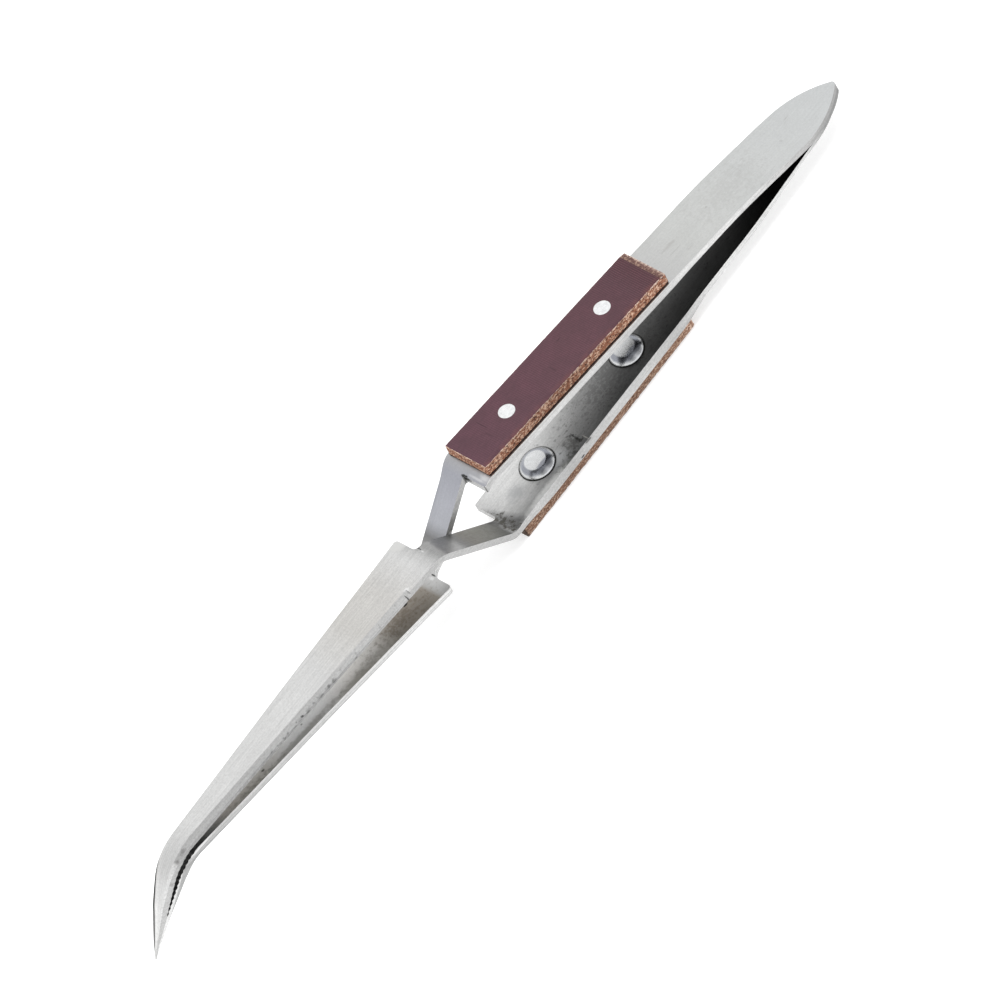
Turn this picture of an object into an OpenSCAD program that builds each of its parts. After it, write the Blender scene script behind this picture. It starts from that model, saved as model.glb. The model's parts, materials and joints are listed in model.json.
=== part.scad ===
// Cross-locking tweezers with bent, serrated tips and fibre grip plates.
// Everything is first laid out in the tool's own frame: X runs from the rear point to the jaws,
// Y is the width of the sheet, and the plane z = 0 lies midway between the two arms. The finished
// tool is then laid on the outer face of its lower grip plate, which is the plane z = 0 of the part.

/* [Arms] */
// Width of an arm at the grips
arm_w = 9.1; // [8:0.1:11]
// Thickness of the sheet at the weld and the necks
arm_t = 1.1; // [0.9:0.05:1.4]
// How much the spring stretch is ground in on the upper arm's outer face
upper_spring_cut = 0.1; // [0:0.05:0.3]
// The same depth on the lower arm
lower_spring_cut = 0.3; // [0:0.05:0.4]
// How much thicker the upper arm's spring stretch is on its inner face
upper_spring_in = 0.1; // [0:0.02:0.4]
// The same on the lower arm
lower_spring_in = 0.3; // [0:0.02:0.4]
// How much thicker the upper arm is on its inner face at the grips
upper_grip_in = 0.25; // [0:0.01:0.4]
// The same on the lower arm
lower_grip_in = 0.12; // [0:0.01:0.4]
// How much thicker the lower arm is on its outer face at the grips
lower_grip_out = 0.25; // [0:0.01:0.4]
// Distance over which the sheet changes from one thickness to the other
thin_run = 4; // [2:0.5:5]
// How much the lower arm's outer face is ground in at the middle of the weld
weld_cut = 0.75; // [0:0.05:0.8]
// Distance from the rear point at which that grinding has run out
weld_cut_len = 15; // [14:1:20]
// How far the seam of the two arms rises towards the rear point
seam_rise = 0.3; // [0:0.05:0.4]
// How far the lower arm's +Y side slants out from its inner to its outer face at the grips
side_slant = 0.32; // [0:0.02:0.5]
// Distance over which that slant comes and goes
slant_run = 6; // [3:0.5:10]
// Length of the spot-welded rear end
weld_len = 9.4; // [7:0.1:14]
// Radius of the two curved sides of the rear point
nose_r = 17; // [14:0.5:24]
// Rounding of the rear point itself
nose_tip_r = 0.6; // [0.2:0.1:1.5]
// How far the rear point lies off the centre line
nose_shift = 0.9; // [0:0.1:1.5]
// Angle at which each arm leaves the weld
bow_angle = 8.5; // [6:0.1:10]
// Radius of the bend in front of the weld
bow_r = 15; // [8:1:25]
// Straight run behind the long curve
bow_run = 10; // [6:0.5:14]
// Radius of the long curve of the spring
spring_r = 100; // [80:5:140]
// Angle of the straight grip stretch
grip_angle = 3.4; // [2.6:0.1:4]
// Length of the straight grip stretch
grip_run = 50.8; // [49:0.1:56]

/* [Necks] */
// Angle at which each neck runs across
neck_angle = 38.9; // [34:0.1:42]
// Bend radius at both ends of a neck
neck_r = 3; // [2.5:0.1:4]
// How much farther forward the lower arm's neck starts
lower_ahead = 0.7; // [0:0.1:1.2]
// Free space between the two necks
neck_gap = 0.3; // [0.3:0.05:0.8]
// How far the middle of that space lies off the centre line
neck_shift = 0.05; // [-0.5:0.05:0.5]
// How far the upper arm's neck stands in from the side of its arm
upper_inset = 0.45; // [0.05:0.05:0.8]
// The same inset on the lower arm, where a minus means that the neck stands out
lower_inset = -0.2; // [-0.3:0.05:0.8]
// Length of the easy curve that leads into a neck's side
neck_ease = 2; // [1:0.1:3]
// How far the upper arm's shoulder reaches past the start of its neck's bend
upper_shoulder = 2.1; // [1.5:0.1:2.5]
// The same distance on the lower arm
lower_shoulder = 0.5; // [0.4:0.1:2]
// Distance of the blades' shoulders from the front end of the upper arm's neck
blade_ahead = 0.85; // [0.8:0.05:2]
// Rounding of the notch's corner at the arm
notch_r = 0.6; // [0.4:0.1:1]
// Rounding of the notch's corner at the upper arm's blade
upper_blade_notch_r = 2; // [0.6:0.1:2.4]
// Rounding of the notch's corner at the lower arm's blade
lower_blade_notch_r = 0.8; // [0.6:0.1:2.4]
// Rounding of the free outer corners of an arm
corner_r = 0.4; // [0.1:0.1:0.8]
// Rounding of the free outer corners of a blade
blade_corner_r = 0.6; // [0.1:0.1:1]

/* [Jaws] */
// Distance from the start of the upper arm's neck to the start of the tip bend
jaw_reach = 68.8; // [65:0.1:73]
// Angle at which the blades close towards that bend
blade_angle = 2.15; // [1.5:0.05:2.8]
// Distance of a blade's inner face from the middle plane where the tips start to bend
bend_gap = 0.46; // [0.3:0.02:0.8]
// Amount by which a blade's shoulder is narrower than its arm, on each side
blade_step = 0.05; // [0:0.05:0.5]
// How far the ground sides of a blade curve in from a straight line
blade_sag = 0.15; // [0:0.05:0.3]
// Amount by which the lower arm's free blade corner is cut back
blade_trim = 0.6; // [0.2:0.1:1.5]
// Distance over which that cut runs out
blade_trim_len = 28; // [15:1:35]
// Half width of the jaws where they start to bend
bend_half = 1.75; // [1.4:0.05:2.2]
// How much wider the jaws are there on their -Y side
bend_extra = 0.05; // [0:0.05:0.4]
// Thickness of the jaws at the bend
jaw_t = 1.3; // [1.1:0.05:1.5]
// Angle of the bent tips
tip_angle = 46.4; // [30:0.1:55]
// Radius of the tip bend, midway between the jaws
tip_r = 7.5; // [6:0.1:10]
// Straight length of the tips after the bend
tip_run = 12.8; // [9:0.1:15]
// Length over which the closed jaws meet
tip_contact = 7.4; // [5:0.1:8.5]
// Space left between the closed jaws
jaw_gap = 0.02; // [0.02:0.01:0.1]
// Power of the curve in which the jaws close, where 1 is a straight line
gap_power = 1.6; // [1:0.1:2.5]
// Length of the taper in width that ends in the point
taper_len = 15.3; // [12:0.1:16]
// Half width of the jaws where that taper starts
taper_half = 1.68; // [1.2:0.02:1.9]
// Length of the fine point
point_len = 2.3; // [1:0.1:3]
// Half width where the fine point starts
point_root = 0.22; // [0.12:0.02:0.4]
// How much wider the -Y side is there
point_extra = 0.3; // [0:0.05:0.5]
// Half width of the very point
point_half = 0.05; // [0.04:0.01:0.12]
// How far the very point lies off the centre line
point_shift = 0.15; // [-0.2:0.05:0.2]
// Thickness of each jaw at the very point
point_t = 0.12; // [0.1:0.01:0.4]
// Length of the upper jaw's ground taper in thickness
upper_grind = 14.3; // [8:0.1:15]
// The same length on the lower jaw
lower_grind = 8.3; // [5:0.1:14]
// How far the -Y side of the taper bulges out from a straight line
taper_bulge = 0.25; // [0:0.05:0.3]

/* [Ground edge of the lower arm's blade] */
// Distance of its start from the blade's shoulder
ground_start = 6; // [3:0.5:12]
// Width at its start, seen from above
ground_w = 0.75; // [0.3:0.05:1.2]
// Width where the tips start to bend
ground_w_bend = 0.75; // [0.3:0.05:1.2]
// Width where the fine point starts
ground_w_end = 0.1; // [0.05:0.01:0.4]
// Slope of the ground face
ground_angle = 44; // [30:1:48]

/* [Serrations] */
// Distance from one groove to the next
tooth_pitch = 0.86; // [0.5:0.02:1.2]
// Depth of a groove in the upper arm's jaw
upper_tooth_depth = 0.18; // [0.08:0.01:0.25]
// Depth of a groove in the lower arm's jaw
lower_tooth_depth = 0.1; // [0.08:0.01:0.25]
// Length of the serrated stretch
tooth_zone = 11.2; // [6:0.1:16]
// Plain stretch from there to the point
tooth_end = 7; // [1:0.1:9]

/* [Grip plates] */
// Length of a grip plate
plate_l = 40.4; // [38:0.1:42]
// Width of a grip plate
plate_w = 8.5; // [7:0.1:9]
// Thickness of a grip plate
plate_t = 2.1; // [1.5:0.1:2.6]
// Sideways offset of the upper grip plate on its arm
upper_plate_shift = 0.1; // [-0.2:0.05:0.3]
// The same offset of the lower grip plate
lower_plate_shift = 0.2; // [-0.2:0.05:0.3]
// How far a plate reaches past the start of the neck's bend
plate_ahead = 0.5; // [-1:0.1:0.8]
// Length of the shallow bevel at a plate's rear edge
plate_bevel_l = 1.1; // [0.5:0.1:2]
// Drop of that bevel
plate_bevel_h = 0.2; // [0.1:0.05:0.5]

/* [Rivets] */
// Diameter of the shank and of the ends that show on the plates
rivet_d = 2.7; // [2:0.1:3.2]
// Diameter of the head inside the arm
head_d = 5.6; // [4.4:0.1:6]
// Diameter of the flat on top of the head
head_flat_d = 3.4; // [2:0.1:3.8]
// Height of the head
head_h = 1.05; // [0.7:0.05:1.2]
// Height of the plain rim below the head's dome
head_rim = 0.15; // [0.05:0.05:0.3]
// Distance of the rear rivet from the plate's rear edge
rivet_rear = 9.5; // [8:0.1:12]
// Distance of the front rivet from the plate's front edge
rivet_front = 9.4; // [8:0.1:12]

/* [Hidden] */
$fn = 64;
// Largest turn in degrees and largest length between two points of a bend
turn_step = 3;
length_step = 1.2;
// Points along a small rounding, an eased side, a blade's side and the taper of a tip
round_steps = 6;
ease_steps = 6;
blade_steps = 10;
taper_steps = 8;
// Cuts of the ground face past the start of the bend, and how far each reaches into the next
ground_steps = 14;
ground_lap = 0.1;
// Spacing of the stations along the plain part of the jaws
jaw_step = 0.6;
// Room that every cutting solid reaches past what it cuts, and the smaller one of the side's cut
over = 1;
slant_over = 0.3;
metal = [0.78, 0.77, 0.75];
fibre = [0.42, 0.29, 0.29];
rivet_metal = [0.86, 0.86, 0.87];

// Side view
// A path is a list of stations [x, z, heading], and a move is [length, 0] for a straight run
// or [radius, turn] for a bend.
function last(v) = v[len(v) - 1];
function flip(v) = [for (i = [len(v) - 1 : -1 : 0]) v[i]];
function run(s, l) = [s[0] + l * cos(s[2]), s[1] + l * sin(s[2]), s[2]];
function chord(s, r, turn) =
    let (l = 2 * r * sin(abs(turn) / 2), a = s[2] + turn / 2)
    [s[0] + l * cos(a), s[1] + l * sin(a), s[2] + turn];
function bend(s, r, turn, n) =
    n == 0 ? [] : let (next = chord(s, r, turn / n)) concat([next], bend(next, r, turn - turn / n, n - 1));
function bend_count(r, turn) = ceil(max(abs(turn) / turn_step, r * abs(turn) * PI / 180 / length_step));
function step(s, move) =
    move[1] == 0 ? [run(s, move[0])] : bend(s, move[0], move[1], bend_count(move[0], move[1]));
function walk(path, moves, i = 0) =
    i == len(moves) ? path : walk(concat(path, step(last(path), moves[i])), moves, i + 1);

// Middle line of an arm, from the rear point to the end of its neck. It is drawn for an arm that
// lies above at the grips, and the lower arm is its mirror image with a longer grip stretch.
plate_s = grip_run + plate_ahead - plate_l;
rear = [0, arm_t / 2, 0];
spring_moves = [[weld_len / 2, 0], [weld_len / 2, 0], [bow_r, bow_angle], [bow_run, 0],
                [spring_r, grip_angle - bow_angle]];
grip_start = last(walk([rear], spring_moves));
function neck_start(side) = run(grip_start, grip_run + (side < 0 ? lower_ahead : 0));
bend_x = neck_start(1)[0] + jaw_reach;
// Straight run of a neck, so that it ends on the line on which the blade closes towards its bend
function neck_run(side) =
    let (start = neck_start(side),
         x = start[0] + neck_r * (2 * sin(neck_angle) + sin(grip_angle) + sin(blade_angle)),
         z = start[1] + neck_r * (2 * cos(neck_angle) - cos(grip_angle) - cos(blade_angle)))
    (z + bend_gap + jaw_t / 2 + (bend_x - x) * tan(blade_angle))
        / (sin(neck_angle) + cos(neck_angle) * tan(blade_angle));
function arm_path(side) = walk([rear], concat(spring_moves,
    [[plate_s - thin_run, 0], [thin_run, 0],
     [grip_run - plate_s - thin_run + (side < 0 ? lower_ahead : 0), 0], [thin_run, 0],
     [neck_r, -grip_angle - neck_angle], [neck_run(side), 0], [neck_r, neck_angle + blade_angle]]));
upper_path = arm_path(1);
lower_path = arm_path(-1);
function path(side) = side > 0 ? upper_path : lower_path;

// Places along the tool
thin_from = weld_len + thin_run;
thin_to = run(grip_start, plate_s - thin_run)[0];
plate_x = run(grip_start, plate_s)[0];
function thick_to(side) = neck_start(side)[0] - thin_run * cos(grip_angle);
blade_x = last(upper_path)[0] + blade_ahead;
function shoulder_x(side) = neck_start(side)[0] + (side > 0 ? upper_shoulder : lower_shoulder);
tip_s = bend_x + tip_r * tip_angle * PI / 180 + tip_run;

// How much thicker than arm_t the sheet is at x, behind the blades: on its outer face and on its
// inner one. The inner faces also follow the seam at the weld, which rises to the rear.
function outer_more(side, x) =
    lookup(x, side > 0
        ? [[weld_len, 0], [thin_from, -upper_spring_cut], [thin_to, -upper_spring_cut], [plate_x, 0]]
        : [[0, -weld_cut / 2], [weld_len / 2, -weld_cut], [weld_cut_len, -lower_spring_cut],
           [thin_to, -lower_spring_cut], [plate_x, lower_grip_out], [thick_to(side), lower_grip_out],
           [neck_start(side)[0], 0]]);
function inner_more(side, x) =
    let (spring = side > 0 ? upper_spring_in : lower_spring_in,
         grip = side > 0 ? upper_grip_in : lower_grip_in)
    lookup(x, [[weld_len / 2, -side * seam_rise], [weld_len, 0], [thin_from, 0],
               [grip_start[0], spring], [thin_to, spring], [plate_x, grip], [thick_to(side), grip],
               [neck_start(side)[0], 0]]);
// One face of the sheet: up is 1 for the outer face, on the left of the path, and -1 for the other
function face(side, up) = [for (s = path(side))
    let (more = up > 0 ? outer_more(side, s[0]) : inner_more(side, s[0]), off = up * (arm_t / 2 + more))
    [s[0] - off * sin(s[2]), s[1] + off * cos(s[2])]];

// A point [s, n] lies n above the middle line of the jaws at distance s along it. Past bend_x that
// line turns down round an arc and runs on straight, and the jaws follow it.
function bent(p) =
    let (s = p[0] - bend_x, a = min(max(s / tip_r * 180 / PI, 0), tip_angle),
         rest = s - a * PI / 180 * tip_r)
    [bend_x + (tip_r + p[1]) * sin(a) + rest * cos(a),
     (tip_r + p[1]) * cos(a) - tip_r - (s > 0 ? rest * sin(a) : 0)];

// Distance of a jaw's inner face from the middle line, and the jaw's thickness, at s
function jaw_inner(s) =
    let (u = (s - bend_x) / (tip_s - tip_contact - bend_x))
    u < 1 ? bend_gap + (jaw_gap / 2 - bend_gap) * pow(max(u, 0), gap_power) : jaw_gap / 2;
function jaw_thick(s, grind) =
    s < tip_s - grind ? jaw_t : point_t + (jaw_t - point_t) * (tip_s - s) / grind;

// Stations of the jaws: plain ones behind the serrations, then two for each groove
tooth_s = tip_s - tooth_end - tooth_zone;
teeth = floor(tooth_zone / tooth_pitch);
plain_count = ceil((tooth_s - bend_x) / jaw_step);
function jaw_stations(depth) = concat(
    [for (i = [0 : 1 : plain_count - 1])
        let (s = bend_x + i / plain_count * (tooth_s - bend_x))
        [s, jaw_inner(s)]],
    [for (i = [0 : teeth - 1], half = [0, 1])
        let (s = tooth_s + (i + half / 2) * tooth_pitch)
        [s, jaw_inner(s) + half * depth]],
    [[tip_s - tooth_end, jaw_gap / 2], [tip_s, jaw_gap / 2]]);
outer_count = ceil((tip_s - bend_x) / jaw_step);
function outer_stations(grind) = [for (i = [0 : outer_count])
    let (s = bend_x + i / outer_count * (tip_s - bend_x))
    [s, jaw_inner(s) + jaw_thick(s, grind)]];

// Side view of one arm: side is 1 for the upper arm, whose jaw lies below, and -1 for the lower one
module side_profile(side) {
    rear_face = [for (p = face(side, 1)) [p[0], side * p[1]]];
    rear_back = [for (p = face(side, -1)) [p[0], side * p[1]]];
    inner = [for (p = jaw_stations(side > 0 ? upper_tooth_depth : lower_tooth_depth))
        bent([p[0], -side * p[1]])];
    outer = [for (p = outer_stations(side > 0 ? upper_grind : lower_grind)) bent([p[0], -side * p[1]])];
    polygon(concat(rear_face, inner, flip(outer), flip(rear_back)));
}

// Plan view
// dir is 1 for the +Y side of the tool and -1 for the other. Both curved sides of the rear point
// are arcs that run tangent into the straight sides, and a small arc rounds the point off.
function nose_half(dir) = arm_w / 2 - dir * nose_shift;
function nose_center(dir) =
    [sqrt(2 * nose_r * nose_half(dir) - pow(nose_half(dir), 2)), dir * (arm_w / 2 - nose_r)];
nose_span = nose_center(-1) - nose_center(1);
nose_rise = sqrt(pow(nose_r - nose_tip_r, 2) - pow(norm(nose_span) / 2, 2));
nose_tip = (nose_center(1) + nose_center(-1)) / 2
    + nose_rise / norm(nose_span) * [-nose_span[1], nose_span[0]];
function nose_turn(dir) =
    let (v = nose_tip - nose_center(dir))
    atan2(-v[0], dir * v[1]);
function arc(center, r, from, to, first = 0) =
    let (n = bend_count(r, to - from))
    [for (i = [first : n]) let (a = from + (to - from) * i / n) center + r * [-sin(a), cos(a)]];
nose_outline = concat(
    arc(nose_center(-1), nose_r, 180, 180 - nose_turn(-1)),
    arc(nose_tip, nose_tip_r, 180 - nose_turn(-1), nose_turn(1), 1),
    arc(nose_center(1), nose_r, nose_turn(1), 0, 1));

// Side of an arm that keeps its neck, and side with the notch, from the shoulder to the blade.
// The upper arm keeps its neck on the -Y side and the lower arm on the +Y side.
function ease(from, to, i) = from + (to - from) * (1 - cos(180 * i / ease_steps)) / 2;
function neck_side(dir) =
    let (half = arm_w / 2, low = half - (dir < 0 ? upper_inset : lower_inset), x = shoulder_x(-dir))
    concat([for (i = [0 : ease_steps])
               [x - neck_ease + 2 * neck_ease * i / ease_steps, dir * ease(half, low, i)]],
           [for (i = [0 : ease_steps - 1])
               [blade_x - neck_ease + neck_ease * i / ease_steps,
                dir * ease(low, half - blade_step, i)]]);
function notch_side(dir) =
    let (x = shoulder_x(dir), edge = dir * neck_shift - neck_gap / 2,
         r = dir > 0 ? upper_blade_notch_r : lower_blade_notch_r)
    concat([for (i = [0 : round_steps])
               let (a = 90 * i / round_steps)
               [x - corner_r * (1 - sin(a)), dir * (arm_w / 2 - corner_r * (1 - cos(a)))]],
           [for (i = [0 : round_steps])
               let (a = 90 * i / round_steps)
               [x + notch_r * (1 - cos(a)), dir * (edge + notch_r * (1 - sin(a)))]],
           [for (i = [0 : round_steps])
               let (a = 90 * i / round_steps)
               [blade_x - r * (1 - sin(a)), dir * (edge + r * (1 - cos(a)))]]);

// Outline of the lower arm's slanting side at its outer face
slant_outline = let (from = plate_x - slant_run / 2, to = neck_start(-1)[0] - neck_ease)
    concat([for (i = [0 : ease_steps])
               [from + slant_run * i / ease_steps, arm_w / 2 + ease(0, side_slant, i)]],
           [for (i = [0 : ease_steps])
               [to - slant_run * (1 - i / ease_steps), arm_w / 2 + ease(side_slant, 0, i)]]);

// Half width of a blade at x on the side dir, its free corner, and one side of it from the
// shoulder to the point
function blade_half(x, dir) =
    let (u = (x - blade_x) / (bend_x - blade_x), root = arm_w / 2 - blade_step)
    root + (bend_half + (dir < 0 ? bend_extra : 0) - root) * u - 4 * blade_sag * u * (1 - u);
function blade_corner(dir, trim) =
    let (y = blade_half(blade_x, dir) - trim)
    [for (i = [0 : round_steps])
        let (a = 90 * i / round_steps)
        [blade_x + blade_corner_r * (1 - cos(a)), dir * (y - blade_corner_r * (1 - sin(a)))]];
function blade_side(dir, trim, first = 0) =
    concat([for (i = [first : blade_steps])
               let (x = blade_x + (bend_x - blade_x) * i / blade_steps)
               [x, dir * (blade_half(x, dir) - trim * max(1 - (x - blade_x) / blade_trim_len, 0))]],
           [for (i = [0 : taper_steps])
               let (u = i / taper_steps,
                    wider = dir < 0 ? bend_extra + u * (point_extra - bend_extra)
                                          + 4 * taper_bulge * u * (1 - u) : 0)
               [bent([tip_s - taper_len + u * (taper_len - point_len), 0])[0],
                dir * (taper_half + u * (point_root - taper_half) + wider)]],
           [[bent([tip_s, 0])[0] + point_t, point_shift + dir * point_half]]);

// Outline of one arm
module plan(side) {
    trim = side < 0 ? blade_trim : 0;
    kept = concat(side < 0 ? slant_outline : [], neck_side(-side), blade_side(-side, 0));
    cut = concat(notch_side(side), blade_corner(side, trim), blade_side(side, trim, 1));
    polygon(concat(nose_outline, side > 0 ? cut : kept, flip(side > 0 ? kept : cut)));
}

module sheet(side) {
    intersection() {
        rotate([90, 0, 0]) linear_extrude(4 * arm_w, center = true) side_profile(side);
        linear_extrude(8 * arm_w, center = true) plan(side);
    }
}

// Ground face along the +Y edge of the lower arm's blade and jaw, which lie on top: places on its
// upper border, and a cut from each place to the next
function blade_top(x) =
    let (end = last(lower_path), z = -end[1] + arm_t / 2)
    z + (bend_gap + jaw_t - z) * (x - end[0]) / (bend_x - end[0]);
function jaw_top(s) = bent([s, jaw_inner(s) + jaw_thick(s, lower_grind)]);
function ground_place(p, w) = [p[0], lookup(p[0], blade_side(1, 0)) - w, p[1]];
ground_x = blade_x + ground_start;
ground_run = tip_s - point_len - bend_x;
ground_places = concat(
    [ground_place([ground_x, blade_top(ground_x)], ground_w)],
    [for (i = [0 : ground_steps])
        let (u = i / ground_steps)
        ground_place(jaw_top(bend_x + u * ground_run),
                     ground_w_end + (ground_w_bend - ground_w_end) * pow(1 - u, 2))]);
module ground_edge() {
    for (i = [0 : len(ground_places) - 2]) {
        from = ground_places[i];
        along = ground_places[i + 1] - from;
        translate(from)
            rotate([0, -atan2(along[2], norm([along[0], along[1]])), atan2(along[1], along[0])])
                rotate([-ground_angle, 0, 0])
                    translate([-ground_lap, 0, 0])
                        cube([norm(along) + 2 * ground_lap, arm_w, arm_w]);
    }
}

// Thickness of an arm at its grip, and how much of it lies outside the middle sheet
function grip_out(side) = side > 0 ? 0 : lower_grip_out;
function grip_t(side) = arm_t + grip_out(side) + (side > 0 ? upper_grip_in : lower_grip_in);

// Frame on the outer face of an arm at the rear edge of its plate: X along the arm, Z outwards
module on_grip(side) {
    scale([1, 1, side])
        translate([grip_start[0], 0, grip_start[1]])
            rotate([0, -grip_angle, 0])
                translate([plate_s, 0, arm_t / 2 + grip_out(side)])
                    children();
}

module rivet_holes(side) {
    for (x = [rivet_rear, plate_l - rivet_front])
        on_grip(side)
            translate([x, 0, -grip_t(side) - over])
                cylinder(d = rivet_d, h = grip_t(side) + plate_t + 2 * over);
}

// Cut that slants the lower arm's +Y side, from its inner face down to its outer one
module side_cut() {
    to = grip_run + lower_ahead - neck_ease - plate_s;
    on_grip(-1)
        translate([-slant_run / 2, arm_w / 2, -grip_t(-1)])
            rotate([-atan2(side_slant, grip_t(-1)), 0, 0])
                translate([0, 0, -slant_over])
                    cube([to + slant_run / 2, arm_w, grip_t(-1) + over + slant_over]);
}

module arm(side) {
    color(metal)
        difference() {
            sheet(side);
            rivet_holes(side);
            if (side < 0) {
                side_cut();
                ground_edge();
            }
        }
}

module plate(side) {
    color(fibre)
        difference() {
            on_grip(side)
                translate([0, (side > 0 ? upper_plate_shift : lower_plate_shift) + plate_w / 2, 0])
                    rotate([90, 0, 0])
                        linear_extrude(plate_w)
                            polygon([[0, 0], [plate_l, 0], [plate_l, plate_t], [plate_bevel_l, plate_t],
                                     [0, plate_t - plate_bevel_h]]);
            rivet_holes(side);
        }
}

// A rivet's head is a plain rim and a part of a ball that is cut off flat
dome_h = head_h - head_rim;
dome_drop = (pow(head_d / 2, 2) - pow(head_flat_d / 2, 2) - pow(dome_h, 2)) / (2 * dome_h);
dome_r = norm([head_d / 2, dome_drop]);
dome_from = acos(head_d / 2 / dome_r);
dome_to = acos(head_flat_d / 2 / dome_r);
module rivet(side, x) {
    color(rivet_metal)
        on_grip(side)
            translate([x, 0, 0])
                rotate_extrude()
                    polygon(concat([[0, plate_t], [rivet_d / 2, plate_t], [rivet_d / 2, -grip_t(side)],
                                    [head_d / 2, -grip_t(side)]],
                                   [for (i = [0 : round_steps])
                                       let (a = dome_from + (dome_to - dome_from) * i / round_steps)
                                       [dome_r * cos(a),
                                        dome_drop - grip_t(side) - head_rim - dome_r * sin(a)]],
                                   [[0, -grip_t(side) - head_h]]));
}

// Lays the tool on the outer face of its lower plate, with that face's centre at the origin
module at_rest() {
    translate([-plate_l / 2 - plate_s, 0, plate_t + arm_t / 2 + grip_out(-1)])
        rotate([0, -grip_angle, 0])
            translate([-grip_start[0], 0, grip_start[1]])
                children();
}

module upper_arm() { at_rest() arm(1); }
module lower_arm() { at_rest() arm(-1); }
module upper_grip() { at_rest() plate(1); }
module lower_grip() { at_rest() plate(-1); }
module upper_rear_rivet() { at_rest() rivet(1, rivet_rear); }
module upper_front_rivet() { at_rest() rivet(1, plate_l - rivet_front); }
module lower_rear_rivet() { at_rest() rivet(-1, rivet_rear); }
module lower_front_rivet() { at_rest() rivet(-1, plate_l - rivet_front); }

upper_arm();
lower_arm();
upper_grip();
lower_grip();
upper_rear_rivet();
upper_front_rivet();
lower_rear_rivet();
lower_front_rivet();
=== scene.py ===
"""Cross-locking tweezers: finished arms, fibre grip plates and rivets on a pale studio floor."""

import json
import math

import bmesh
import bpy
from mathutils import Matrix, Vector

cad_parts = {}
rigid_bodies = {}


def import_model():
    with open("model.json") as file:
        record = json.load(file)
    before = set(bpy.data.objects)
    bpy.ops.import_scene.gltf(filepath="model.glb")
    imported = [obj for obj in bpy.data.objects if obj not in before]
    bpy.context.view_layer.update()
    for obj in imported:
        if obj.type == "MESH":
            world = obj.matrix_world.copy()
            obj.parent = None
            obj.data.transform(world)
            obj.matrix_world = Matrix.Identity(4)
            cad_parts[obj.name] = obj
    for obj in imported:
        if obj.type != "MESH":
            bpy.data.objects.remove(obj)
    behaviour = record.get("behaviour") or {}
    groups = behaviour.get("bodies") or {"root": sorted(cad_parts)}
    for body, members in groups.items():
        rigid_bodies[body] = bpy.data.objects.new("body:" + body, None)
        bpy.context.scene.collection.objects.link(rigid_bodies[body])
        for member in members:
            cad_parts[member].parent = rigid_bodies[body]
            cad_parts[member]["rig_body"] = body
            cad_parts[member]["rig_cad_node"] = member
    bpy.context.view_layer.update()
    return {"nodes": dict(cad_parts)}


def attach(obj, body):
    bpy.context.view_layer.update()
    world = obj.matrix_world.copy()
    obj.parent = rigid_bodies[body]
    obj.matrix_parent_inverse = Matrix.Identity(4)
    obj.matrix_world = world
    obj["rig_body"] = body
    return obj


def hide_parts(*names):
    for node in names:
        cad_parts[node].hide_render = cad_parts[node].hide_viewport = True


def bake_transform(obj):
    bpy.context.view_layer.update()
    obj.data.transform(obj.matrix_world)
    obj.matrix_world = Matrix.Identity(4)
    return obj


bl_info = {
    "name": "Cross-locking tweezers",
    "version": (1, 0, 0),
    "blender": (4, 5, 0),
    "location": "View3D > Sidebar > Tweezers",
    "description": "Finishes the arms, grip plates and rivets of a pair of cross-locking tweezers",
    "category": "Object",
}

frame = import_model()

# Sizes in millimetres and angles in degrees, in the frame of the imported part
MM = 0.001
GRIP_RISE = 6.8
UPPER_FACE = (-0.902, 0.0, 15.433)
PLATE_LENGTH = 40.4
PLATE_WIDTH = 8.5
PLATE_THICKNESS = 2.1
UPPER_PLATE_SHIFT = 0.1
LOWER_PLATE_SHIFT = -0.2
REAR_RIVET = -10.7
FRONT_RIVET = 10.8
HEAD_LEVEL = 4.5
HEAD_REACH = 2.7
HEAD_FLAT_REACH = 1.9
HEAD_SHADE_REACH = 3.1
LOWER_INNER_FACE = 3.57

# About the two ends of the arms, where tints start and end
ARM_REAR = -62.0
ARM_FRONT = 103.0

# The lower arm bends between these places, and is cut across in steps so that it bends smoothly
FLEX_CUTS = [-52.0 + 2.0 * step for step in range(13)]

# Serrated jaws: where they start, the longest edge along a tooth, and where edges grow finer
JAW_START = 86.0
TOOTH_EDGE = 0.36
FINE_EDGE_START = 80.0
FINE_EDGE_RUN = 20.0

# Merging a solid's loose triangles: distance between doubles, and the angle that counts as flat
DOUBLES = 0.002
FLAT_ANGLE = 0.4

# Sawn plates: faces along, across and through them, their rim, and how near the outline counts
PLATE_COLUMNS = 90
PLATE_ROWS = 20
PLATE_LAYERS = 6
PLATE_RIM = 0.09
RIM_BAND = 0.11
BORDER_BAND = 0.01
SAWN_GRAIN = 0.5
SAWN_DEPTH = 0.22

# Metal: stretch of the brush lines on wide faces and cut sides, and where the pits grow fewer
WIDE_BRUSH = (60.0, 3000.0, 60.0)
SIDE_BRUSH = (60.0, 60.0, 2400.0)
PITTED_UP_TO = 8.0
CLEAN_FROM = 19.0

# Directions along which the metal's colour changes
LENGTHWISE = (1, 0, 0)
UP = (0, 0, 1)
ACROSS_TIP_SIDE = (0.682, 0, 0.731)
ACROSS_BLADE_SIDE = (-0.0988, 0, 1)
HOLLOW_SLANT = (1, -2.0, 0)
CREASE_SLANT = (1, 0.35, 0)
ACROSS_FAR_BORDER = (-0.165, 1, 0)

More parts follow.
